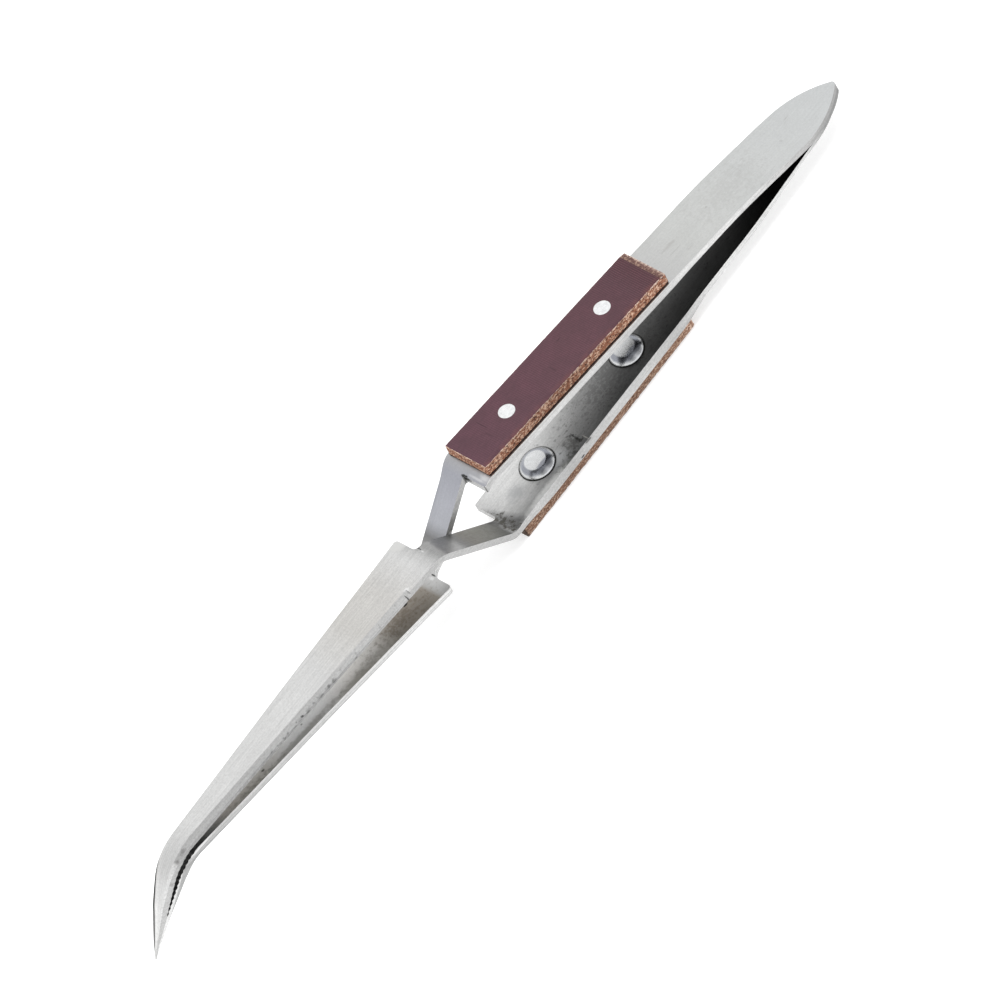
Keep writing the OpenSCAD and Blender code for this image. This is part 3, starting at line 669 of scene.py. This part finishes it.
class TWEEZERS_OT_lower_arm(bpy.types.Operator):
    """Finish the lower arm, which flexes between the weld and its grip plate"""

    bl_idname = "tweezers.lower_arm"
    bl_label = "Lower arm"

    def execute(self, context):
        piece = copy_node("lower_arm", "lower_arm_finished")
        bpy.ops.object.mode_set(mode="EDIT")
        for place in FLEX_CUTS:
            cut(mm(place, 0, 0), (1, 0, 0))
        bpy.ops.object.mode_set(mode="OBJECT")
        # Painted shade in the channel under the upper arm, darkest towards the rear
        hollow = [(-50.0, 0.06), (-36.0, 0.14), (-24.0, 0.15), (-14.0, 0.17), (-6.0, 0.29), (2.0, 0.40),
                  (8.0, 0.62), (14.0, 0.88), (19.0, 1.0)]
        # Painted shade across the crease of the fold
        crease = [(17.0, 1.0), (19.5, 0.85), (20.8, 0.36), (22.2, 0.36), (23.2, 1.0)]
        # Own tone and painted light and shade along the top: dark rising neck, brighter jaw
        along = [(14.0, 1.0), (21.3, 0.95), (22.4, (0.27, 0.27, 0.255)), (25.0, (0.30, 0.30, 0.275)),
                 (27.3, (0.235, 0.225, 0.205)), (28.6, 0.25), (29.6, 0.52), (31.25, 0.54), (32.75, 0.50),
                 (34.2, 0.78), (36.0, 0.94), (42.0, (0.88, 0.865, 0.845)), (49.0, (0.86, 0.845, 0.82)),
                 (57.0, 0.94), (64.0, 0.97), (86.0, 0.95), (91.5, 0.82), (94.0, 0.85), (95.2, 0.94),
                 (97.0, 1.05), (99.0, 1.05), (ARM_FRONT, 1.0)]
        # Painted shade on the underside, darkest over the jaws' gap
        outer = [(ARM_REAR, 0.84), (30.0, 0.84), (40.0, 0.6), (80.0, 0.6), (86.0, 0.4), (ARM_FRONT, 0.35)]
        # Painted reflection and shade along the cut sides
        sides = [(ARM_REAR, 0.28), (-55.0, 0.42), (-50.0, 0.98), (-28.0, 1.08), (-18.0, 0.72), (-4.0, 0.86),
                 (8.0, 0.66), (16.0, 0.86), (23.0, 0.68), (35.0, 0.70), (44.0, 0.62), (56.0, 0.48),
                 (90.0, 0.50), (95.0, 0.72), (ARM_FRONT, 0.76)]
        # Painted light along the ground face, brightest at its rear end
        ground = [(38.0, 1.25), (45.0, 1.15), (55.0, 1.2), (60.0, 1.1), (80.0, 1.0), (92.0, 1.0),
                  (96.0, 1.05), (ARM_FRONT, 1.0)]
        ring = (HEAD_SHADE_REACH, HEAD_SHADE_REACH, 1.0)
        shade = (0.02, 0.02, 0.018)
        # Colour of the painted shade in the fold
        scale = (0.075, 0.072, 0.063)
        # Painted shade over the jaws' gap beyond the far border, with a painted highlight beside it
        gap_shade_and_highlight = [(-18.5, 0.10), (-17.03, 0.10), (-16.86, 1.0), (-16.7, 1.08), (-16.4, 1.06), (-16.1, 1.0)]
        patches = [
            # Painted light and shade round the front rivet: two bright areas and a darker one
            ((8.5, 2.4, LOWER_INNER_FACE), (2.8, 2.2, 1.0), (0.58, 0.59, 0.60), 0.5, 0.8, 0.3),
            ((13.5, 4.5, LOWER_INNER_FACE), (8.0, 1.2, 1.0), (0.72, 0.72, 0.71), 0.9, 0.7, 0.3),
            ((16.2, 0.3, LOWER_INNER_FACE), (2.4, 2.1, 1.0), (0.34, 0.345, 0.35), 0.72, 0.9, 0.6),
            # Rear end of the blade: grey area, painted highlights, and a notch drawn in painted shade
            ((33.5, -3.4, 13.6), (3.0, 2.1, 2.0), (0.575, 0.575, 0.565), 1.0, 0.4, 0.1),
            ((39.7, 3.5, 13.6), (0.8, 0.45, 0.6), (0.70, 0.70, 0.70), 0.9, 0.6, 1.2),
            ((33.35, 0.4, 13.55), (0.16, 0.8, 0.5), (0.05, 0.05, 0.05), 0.8, 0.6, 1.2),
            ((33.5, 1.3, 13.55), (0.16, 0.4, 0.5), (0.62, 0.62, 0.62), 0.8, 0.6, 0.9),
            # Dark rings under the rivet heads: painted contact shadow and dirt
            ((REAR_RIVET, 0.0, LOWER_INNER_FACE), ring, shade, 1.0, 0.07, 0.02),
            ((FRONT_RIVET, 0.0, LOWER_INNER_FACE), ring, shade, 1.0, 0.07, 0.02),
            # Painted shade in the fold, dark and ragged
            ((20.9, 1.6, 3.6), (1.3, 3.0, 0.9), scale, 0.85, 1.0, 2.8),
            ((21.3, 3.2, 3.8), (0.7, 1.9, 0.8), scale, 0.85, 0.9, 2.2),
            # Dark patches and a dash behind the front rivet, and a pale line by the edge
            ((5.8, 2.9, LOWER_INNER_FACE), (2.2, 2.0, 0.5), (0.07, 0.07, 0.065), 0.6, 1.0, 2.4),
            ((8.0, 4.2, LOWER_INNER_FACE), (2.4, 0.9, 0.5), (0.07, 0.07, 0.065), 0.6, 1.0, 2.4),
            ((4.5, 2.7, LOWER_INNER_FACE), (0.42, 1.7, 0.5), shade, 0.8, 1.0, 1.8),
            ((3.8, 4.0, LOWER_INNER_FACE), (0.12, 0.9, 0.5), (0.45, 0.44, 0.41), 0.9, 0.6, 0.3),
            # Painted shade round the rear rivet and on the rising neck
            ((-9.0, 0.0, LOWER_INNER_FACE), (12.0, 4.6, 0.5), (0.03, 0.03, 0.028), 0.30, 0.9, 2.4),
            ((25.5, 1.5, 6.5), (4.5, 3.5, 4.0), (0.10, 0.095, 0.075), 0.35, 1.0, 2.2),
        ]
        marks = [
            # Pits and nicks of the cut sides and the ground face
            ((62.7, 2.9, 13.4), (0.4, 0.5, 0.22), (0.10, 0.10, 0.10), 0.8, 0.6, 0.9),
            ((63.7, 2.8, 13.6), (0.3, 0.5, 0.18), (0.10, 0.10, 0.10), 0.8, 0.6, 0.9),
            ((65.6, 2.7, 13.4), (0.5, 0.5, 0.20), (0.12, 0.12, 0.12), 0.8, 0.6, 0.9),
            ((67.8, 2.6, 13.5), (0.35, 0.5, 0.20), (0.12, 0.12, 0.12), 0.8, 0.6, 0.9),
            ((90.0, 1.4, 14.3), (0.8, 0.5, 0.5), (0.24, 0.23, 0.23), 0.6, 0.8, 0.9),
            ((91.7, 1.4, 13.8), (0.5, 0.5, 0.5), (0.20, 0.19, 0.19), 0.6, 0.8, 0.9),
            ((94.4, 1.3, 11.4), (0.5, 0.5, 0.5), (0.24, 0.23, 0.23), 0.6, 0.8, 0.9),
            ((40.6, 4.0, 12.9), (0.16, 0.8, 0.7), (0.03, 0.03, 0.03), 0.9, 0.5, 0.6),
            ((72.0, 2.5, 13.45), (20.0, 1.6, 0.30), (0.12, 0.12, 0.12), 0.32, 0.9, 3.2),
            ((3.9, 4.6, 3.4), (0.9, 0.5, 0.25), (0.12, 0.12, 0.115), 0.85, 0.5, 0.8),
            ((6.2, 4.8, 2.35), (0.5, 0.4, 0.16), (0.02, 0.02, 0.02), 0.9, 0.5, 0.6),
        ]
        # Specks along the blade's ground border: place, size and strength
        specks = (
            (52.1, 3.4, 13.1, 0.30, 0.7), (56.6, 3.2, 13.45, 0.55, 0.5), (57.9, 3.1, 13.5, 0.45, 0.6),
            (59.5, 3.0, 13.4, 0.40, 0.6), (61.2, 2.9, 13.65, 0.35, 0.6), (63.8, 2.8, 13.7, 0.32, 0.85),
            (65.0, 2.7, 13.8, 0.25, 0.7), (67.0, 2.7, 13.75, 0.30, 0.7), (68.0, 2.6, 13.8, 0.28, 0.8),
            (69.4, 2.6, 13.75, 0.25, 0.6), (70.6, 2.5, 13.75, 0.30, 0.6),
        )
        for x, y, z, size, strength in specks:
            marks.append(((x, y, z), (size, size, size * 0.6), (0.10, 0.10, 0.10), strength, 0.7, 1.2))
        materials = [
            metal_material("lower arm top", [(HOLLOW_SLANT, hollow), (CREASE_SLANT, crease),
                                             (ACROSS_FAR_BORDER, gap_shade_and_highlight), (LENGTHWISE, along)],
                           patches, brush=0.10, grain=0.09, pits=0.14),
            metal_material("lower arm underside", [(LENGTHWISE, outer)]),
            metal_material("lower arm sides", [(LENGTHWISE, sides)], marks, brush=0.12, grain=0.14,
                           slope=0.0),
            edge_material("lower arm edges", [(ACROSS_FAR_BORDER, gap_shade_and_highlight)]),
            # Painted shade: rounded edges that look down are painted darker
            metal_material("lower arm lower edges", [(LENGTHWISE, [(ARM_REAR, 0.4), (ARM_FRONT, 0.4)])]),
            metal_material("lower arm ground face", [(LENGTHWISE, ground)], marks, brush=0.10, grain=0.12,
                           roughness=-0.05, slope=0.0),
        ]
        finish_arm(piece, materials, [(21.5, 31.5, 0.34)])
        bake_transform(piece)
        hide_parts("lower_arm")
        return {"FINISHED"}


# Grip plates

def plate_frame(upper):
    """From the plate's own frame, with the middle of its outer face at the origin, to the part."""
    if upper:
        return Matrix.Translation(mm(*UPPER_FACE)) @ Matrix.Rotation(-math.radians(GRIP_RISE), 4, "Y")
    return Matrix.Rotation(math.pi, 4, "X")


def plate_coordinates(build, where, upper):
    """Object coordinates turned into the plate's own frame."""
    if upper:
        inputs = {"Location": mm(*UPPER_FACE), "Rotation": (0.0, -math.radians(GRIP_RISE), 0.0)}
    else:
        inputs = {"Rotation": (math.pi, 0.0, 0.0)}
    return build.add("ShaderNodeMapping", {"Vector": where, **inputs}, vector_type="TEXTURE").outputs[0]


def fibre_colours(build, own_place, base, pale, dark, worn):
    """Colour and relief of cut fibres: pale broken threads, dark gaps and a torn, pale rim.

    A painted shadow darkens the line where the plate meets the arm.
    """
    threads = build.noise(build.vector("MULTIPLY", own_place, (2200.0, 3200.0, 3900.0)), 1.0, 3.0, 0.7)
    gaps = build.noise(build.vector("MULTIPLY", own_place, (2500.0, 3400.0, 3600.0)), 1.0, 3.0, 0.7)
    light = build.math("MULTIPLY", build.remap(threads, 0.50, 0.58), pale)
    deep = build.math("MULTIPLY", build.remap(gaps, 0.47, 0.39), dark)
    base = build.mix(light, base, THREAD_COLOUR)
    base = build.mix(deep, base, FIBRE_GAP_COLOUR)
    height = build.along(own_place, UP)
    if worn:
        rim = build.remap(build.along(own_place, LENGTHWISE), -19.75, -20.05)
        rim = build.math("MULTIPLY", rim, build.remap(threads, 0.40, 0.50))
    else:
        rim = build.remap(height, -0.42, -0.12)
        rim = build.math("MULTIPLY", rim, build.remap(threads, 0.42, 0.52))
    # Painted shadow along the foot of the plate, where it meets the arm
    seat_shadow = build.remap(height, 0.25 - PLATE_THICKNESS, 0.15 - PLATE_THICKNESS)
    base = build.mix(build.math("MULTIPLY", rim, 0.75), base, TORN_RIM_COLOUR)
    base = build.mix(build.math("MULTIPLY", seat_shadow, 0.9), base, SEAT_SHADOW_COLOUR)
    return base, build.math("ADD", threads, build.math("MULTIPLY", gaps, 0.8))


def fibre_face(upper):
    """Pressed face of the laminate: dull purple brown with fine ribs, clearest towards the rear."""
    own = settings()
    material, build, shader, where = new_material("fibre face upper" if upper else "fibre face lower")
    own_place = plate_coordinates(build, where, upper)
    waves = {"Vector": own_place, "Scale": 924.0, "Distortion": 1.6, "Detail": 2.0, "Detail Scale": 0.8}
    ribs = build.add("ShaderNodeTexWave", waves, wave_type="BANDS", bands_direction="X").outputs[1]
    threads = build.noise(build.vector("MULTIPLY", own_place, (900.0, 4500.0, 900.0)), 1.0, 2.0, 0.6)
    cloud = build.noise(own_place, 260.0, 4.0, 0.6)
    place = build.along(own_place, LENGTHWISE)
    clear = build.remap(place, -18.5, -9.0, 1.0, 0.25)
    clear = build.math("MULTIPLY", clear, build.remap(cloud, 0.35, 0.6, 0.5, 1.2))
    clear = build.math("MULTIPLY", clear, 0.60)
    lines = build.math("MULTIPLY", build.math("SUBTRACT", ribs, 0.5), clear)
    tone = build.math("ADD", lines, build.remap(threads, 0.3, 0.7, 0.93, 1.09))
    tone = build.math("MULTIPLY", tone, build.remap(cloud, 0.25, 0.75, 0.90, 1.10))
    base = build.mix(1.0, (*own.plate_colour, 1.0), build.grey(tone), "MULTIPLY")
    shades = [(-20.0, (0.80, 0.70, 0.68)), (-15.0, (0.90, 0.90, 0.90)), (-5.0, 1.0), (20.0, (1.0, 1.0, 1.06))]
    base = build.mix(1.0, base, build.ramp(place, shades), "MULTIPLY")
    rim = [(-4.3, 1.0), (-3.9, 0.0), (3.3, 0.0), (4.1, 0.8)]
    rim = build.ramp(build.along(own_place, (0, 1, 0)), rim)
    rim = build.math("MULTIPLY", rim, build.remap(cloud, 0.4, 0.6))
    base = build.mix(build.math("MULTIPLY", rim, 0.35), base, (0.20, 0.075, 0.06, 1.0))
    scratches = (((14.6, -1.6, 0.0), (0.10, 1.6, 1.0)), ((15.4, 0.6, 0.0), (0.08, 1.2, 1.0)),
                 ((1.5, 1.0, 0.0), (0.10, 0.9, 1.0)), ((-3.0, -2.0, 0.0), (0.7, 0.08, 1.0)))
    for spot, reach in scratches:
        mask = build.math("MULTIPLY", build.patch(own_place, spot, reach, 0.6, 0.5), 0.55)
        base = build.mix(mask, base, (0.025, 0.010, 0.013, 1.0))
    relief = build.math("ADD", build.math("MULTIPLY", lines, 1.6), build.math("MULTIPLY", threads, 0.4))
    build.feed(shader, {"Base Color": base, "Roughness": build.remap(cloud, 0.2, 0.8, 0.45, 0.60),
                        "Normal": build.bump(relief, 0.5, 0.06), "Specular IOR Level": 0.25})
    return material


def fibre_cut(name, upper, colour, pale, dark, shades, worn=False):
    """Sawn or worn edge of the laminate, shaded along the plate."""
    material, build, shader, where = new_material(name + (" upper" if upper else " lower"))
    own_place = plate_coordinates(build, where, upper)
    base, relief = fibre_colours(build, own_place, (*colour, 1.0), pale, dark, worn)
    base = build.mix(1.0, base, build.ramp(build.along(own_place, LENGTHWISE), shades), "MULTIPLY")
    build.feed(shader, {"Base Color": base, "Roughness": 0.8, "Normal": build.bump(relief, 0.9, 0.15),
                        "Specular IOR Level": 0.25})
    return material


def plate_slot(face):
    """Material slot of a plate's face in the plate's own frame, before its edges are rounded."""
    if abs(face.normal.z) > 0.9:
        return WORN if face.normal.x < -0.1 else FACE
    return SAWN


def plate_materials(upper):
    """Pressed face, sawn edge and worn chamfer of one plate, each shaded along its length."""
    face = fibre_face(upper)
    if upper:
        shades = [(-20.2, (1.5, 1.6, 1.7)), (-16.0, 1.3), (-8.0, 1.15), (4.0, 0.85), (14.0, 1.0),
                  (20.2, 1.25)]
        edge = fibre_cut("fibre edge", upper, settings().plate_edge_colour, 0.66, 0.9, shades)
    else:
        shades = [(-20.0, (1.3, 1.4, 1.5)), (-17.0, 0.92), (-8.0, 0.74), (19.75, 0.78),
                  (19.95, 0.22), (20.3, 0.22)]
        edge = fibre_cut("fibre edge", upper, LOWER_EDGE_COLOUR, 0.85, 0.6, shades)
    shades = [(-20.2, 1.1), (-19.8, 0.9), (-19.0, 0.75)]
    chamfer = fibre_cut("fibre chamfer", upper, CHAMFER_COLOUR, 0.35, 0.6, shades, True)
    return face, edge, chamfer


def divide_plate(shift):
    """In edit mode, cut a plate into faces small enough for ragged sides."""
    for i in range(1, PLATE_COLUMNS):
        cut(mm(-PLATE_LENGTH / 2 + PLATE_LENGTH * i / PLATE_COLUMNS, 0, 0), (1, 0, 0))
    for i in range(1, PLATE_LAYERS):
        cut(mm(0, 0, -PLATE_THICKNESS * i / PLATE_LAYERS), (0, 0, 1))
    for i in range(1, PLATE_ROWS):
        cut(mm(0, shift + PLATE_WIDTH * (i / PLATE_ROWS - 0.5), 0), (0, 1, 0))


def roughen_sides(piece, node, seen, shift):
    """Displace the cut sides of a plate, fully on the one towards the camera."""
    sides = piece.vertex_groups.new(name="sides")
    for vertex in piece.data.vertices:
        along = vertex.co.x / MM
        across = (vertex.co.y / MM - shift) * seen
        if across > PLATE_WIDTH / 2 - RIM_BAND:
            sides.add([vertex.index], 1.0, "REPLACE")
        elif -across > PLATE_WIDTH / 2 - RIM_BAND or abs(along) > PLATE_LENGTH / 2 - RIM_BAND:
            sides.add([vertex.index], 0.3, "REPLACE")
    grain = bpy.data.textures.new(node + " sawn grain", "CLOUDS")
    grain.noise_scale = SAWN_GRAIN * MM
    grain.noise_depth = 3
    modifier = piece.modifiers.new("Sawn sides", "DISPLACE")
    modifier.texture = grain
    modifier.texture_coords = "LOCAL"
    modifier.direction = "NORMAL"
    modifier.vertex_group = sides.name
    modifier.strength = SAWN_DEPTH * MM
    modifier.mid_level = 1.0
    bpy.ops.object.modifier_apply(modifier=modifier.name)


def make_plate(upper):
    """One grip plate with roughly sawn sides, from a copy of its solid."""
    node = "upper_grip" if upper else "lower_grip"
    shift = UPPER_PLATE_SHIFT if upper else LOWER_PLATE_SHIFT
    piece = copy_node(node, node + "_finished")
    local = plate_frame(upper)
    piece.data.transform(local.inverted())
    for material in plate_materials(upper):
        piece.data.materials.append(material)
    for face in piece.data.polygons:
        face.material_index = plate_slot(face)
    bpy.ops.object.mode_set(mode="EDIT")
    divide_plate(shift)

    def border(edge):
        middle = (edge.verts[0].co + edge.verts[1].co) / 2 / MM
        outside = (abs(middle.y - shift) > PLATE_WIDTH / 2 - BORDER_BAND
                   or abs(middle.x) > PLATE_LENGTH / 2 - BORDER_BAND)
        return outside and sharp(edge, 50.0)

    select_edges(piece, border)
    bevel_selected(PLATE_RIM, 2, SAWN)
    bpy.ops.object.mode_set(mode="OBJECT")
    roughen_sides(piece, node, 1 if upper else -1, shift)
    piece.data.transform(local)
    smooth(piece, 40.0)
    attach(piece, "upper_half" if upper else "lower_half")
    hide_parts(node)


class TWEEZERS_OT_grip_plates(bpy.types.Operator):
    """Finish both fibre grip plates"""

    bl_idname = "tweezers.grip_plates"
    bl_label = "Grip plates"

    def execute(self, context):
        make_plate(True)
        make_plate(False)
        return {"FINISHED"}


# Rivets

def rivet_material():
    """Pressed rivet metal, mottled, with painted reflections round the flat tops of the lower heads."""
    own = settings()
    material, build, shader, where = new_material("rivet metal")
    cloud = build.noise(where, 1500.0, 4.0, 0.7)
    mottle = build.grey(build.remap(cloud, 0.3, 0.7, 0.86, 1.06))
    base = build.mix(1.0, (*own.rivet_colour, 1.0), mottle, "MULTIPLY")
    # Painted highlight: the ends on the upper plate are painted lighter
    heights = [(0.0, 1.0), (1.5, 1.0), (3.0, 0.98), (12.5, 0.98), (13.4, 1.17), (17.0, 1.17)]
    base = build.mix(1.0, base, build.ramp(build.along(where, UP), heights), "MULTIPLY")
    # Painted reflections on each lower head: a darker flank round the flat top, a dark and a pale arc
    reflection_arcs = ((1.5, 0.6, (0.24, 0.25, 0.29, 1.0)), (2.5, 0.42, (0.62, 0.63, 0.66, 1.0)))
    for place in (REAR_RIVET, FRONT_RIVET):
        middle = (place, 0, HEAD_LEVEL)
        head = build.patch(where, middle, (HEAD_REACH, HEAD_REACH, 4.0), 0.15, 0.02)
        flat = build.patch(where, middle, (HEAD_FLAT_REACH, HEAD_FLAT_REACH, 4.0), 0.18, 0.05)
        flank_reflection = build.math("SUBTRACT", head, flat, clamp=True)
        base = build.mix(flank_reflection, base, (0.26, 0.27, 0.30, 1.0))
        for across, reach, shade in reflection_arcs:
            arc = build.patch(where, (place - 0.2, across, HEAD_LEVEL), (2.0, reach, 4.0), 0.6, 0.3)
            base = build.mix(build.math("MULTIPLY", arc, 0.8), base, shade)
    build.feed(shader, {"Base Color": base, "Roughness": build.remap(cloud, 0.2, 0.8, 0.22, 0.32),
                        "Metallic": 1.0, "Normal": build.bump(cloud, 0.08, 0.05)})
    return material


def make_rivet(node, body, material):
    """One rivet, from a copy of its solid with softened rims."""
    piece = copy_node(node, node + "_finished")
    bpy.ops.object.mode_set(mode="EDIT")
    select_edges(piece, lambda edge: sharp(edge, 50.0))
    bevel_selected(0.06, 2)
    bpy.ops.object.mode_set(mode="OBJECT")
    smooth(piece, 50.0)
    piece.data.materials.append(material)
    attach(piece, body)
    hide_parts(node)


class TWEEZERS_OT_rivets(bpy.types.Operator):
    """Finish the four rivets"""

    bl_idname = "tweezers.rivets"
    bl_label = "Rivets"

    def execute(self, context):
        material = rivet_material()
        for side in ("upper", "lower"):
            for place in ("rear", "front"):
                make_rivet(side + "_" + place + "_rivet", side + "_half", material)
        return {"FINISHED"}


# Stage

def floor_material():
    """Plain matt floor that glows a little, so that shadows stay faint."""
    material, build, shader, _ = new_material("studio floor")
    build.feed(shader, {"Base Color": (*settings().floor_colour, 1.0), "Roughness": 0.9,
                        "Specular IOR Level": 0.1, "Emission Color": WHITE, "Emission Strength": 0.55})
    return material


def studio_world(world):
    """An even, bright tent with a dim opening for the camera and a dark card beside it."""
    world.node_tree.nodes.clear()
    build = Nodes(world.node_tree)
    output = build.add("ShaderNodeOutputWorld")
    direction = build.add("ShaderNodeTexCoord").outputs["Generated"]
    strength = TENT_STRENGTH
    for towards, start, end, brightness in (TENT_OPENING, TENT_CARD):
        near = build.vector("DOT_PRODUCT", direction, towards, "Value")
        strength = build.math("MULTIPLY", build.remap(near, start, end, 1.0, brightness), strength)
    background = build.add("ShaderNodeBackground", {"Color": WHITE, "Strength": strength})
    build.feed(output, {"Surface": background.outputs[0]})


def area_light(name, place, target, size, power):
    """A square soft light that faces its target."""
    bpy.ops.object.light_add(type="AREA", location=place)
    lamp = bpy.context.active_object
    lamp.name = name
    lamp.data.shape = "SQUARE"
    lamp.data.size = size
    lamp.data.energy = power * settings().light_strength
    lamp.rotation_euler = (Vector(place) - Vector(target)).to_track_quat("Z", "Y").to_euler()
    return lamp


class TWEEZERS_OT_stage(bpy.types.Operator):
    """Set the pale floor, the bright tent, the key light and the camera"""

    bl_idname = "tweezers.stage"
    bl_label = "Stage"

    def execute(self, context):
        deselect_all()
        bpy.ops.mesh.primitive_plane_add(size=8.0, location=(0, 0, 0))
        floor = bpy.context.active_object
        floor.name = "studio_floor"
        floor.data.materials.append(floor_material())
        world = bpy.data.worlds.new("studio") if context.scene.world is None else context.scene.world
        context.scene.world = world
        world.use_nodes = True
        studio_world(world)
        # Kept out of mirror images, so that a flat blade is not lost against the floor
        key = area_light("key light", KEY_PLACE, KEY_TARGET, KEY_SIZE, KEY_POWER)
        key.visible_glossy = False
        camera_data = bpy.data.cameras.new("camera")
        camera = bpy.data.objects.new("camera", camera_data)
        context.scene.collection.objects.link(camera)
        turn = Matrix((CAMERA_RIGHT, CAMERA_UP, CAMERA_BACK)).transposed()
        place = mm(*CAMERA_TARGET) + CAMERA_BACK * CAMERA_DISTANCE
        camera.matrix_world = Matrix.Translation(place) @ turn.to_4x4()
        camera_data.sensor_width = 36.0
        camera_data.lens = CAMERA_LENS
        camera_data.shift_x, camera_data.shift_y = CAMERA_SHIFT
        camera_data.clip_start = 0.1
        camera_data.clip_end = 50.0
        context.scene.camera = camera
        context.scene.view_settings.view_transform = "Standard"
        context.scene.view_settings.look = "None"
        return {"FINISHED"}


class TWEEZERS_PT_panel(bpy.types.Panel):
    """Buttons and settings for the tweezers"""

    bl_idname = "TWEEZERS_PT_panel"
    bl_label = "Tweezers"
    bl_space_type = "VIEW_3D"
    bl_region_type = "UI"
    bl_category = "Tweezers"

    def draw(self, context):
        layout = self.layout
        own = context.scene.tweezers_settings
        for name in TweezersSettings.__annotations__:
            layout.prop(own, name)
        for operator in OPERATORS:
            layout.operator(operator.bl_idname)


OPERATORS = (
    TWEEZERS_OT_upper_arm,
    TWEEZERS_OT_lower_arm,
    TWEEZERS_OT_grip_plates,
    TWEEZERS_OT_rivets,
    TWEEZERS_OT_stage,
)


def register():
    """Register the settings, operators and panel."""
    bpy.utils.register_class(TweezersSettings)
    for operator in OPERATORS:
        bpy.utils.register_class(operator)
    bpy.utils.register_class(TWEEZERS_PT_panel)
    bpy.types.Scene.tweezers_settings = bpy.props.PointerProperty(type=TweezersSettings)


def unregister():
    """Take them out again."""
    del bpy.types.Scene.tweezers_settings
    bpy.utils.unregister_class(TWEEZERS_PT_panel)
    for operator in reversed(OPERATORS):
        bpy.utils.unregister_class(operator)
    bpy.utils.unregister_class(TweezersSettings)


def main():
    """Make every piece and the stage."""
    register()
    bpy.ops.tweezers.upper_arm()
    bpy.ops.tweezers.lower_arm()
    bpy.ops.tweezers.grip_plates()
    bpy.ops.tweezers.rivets()
    bpy.ops.tweezers.stage()


if __name__ == "__main__":
    main()
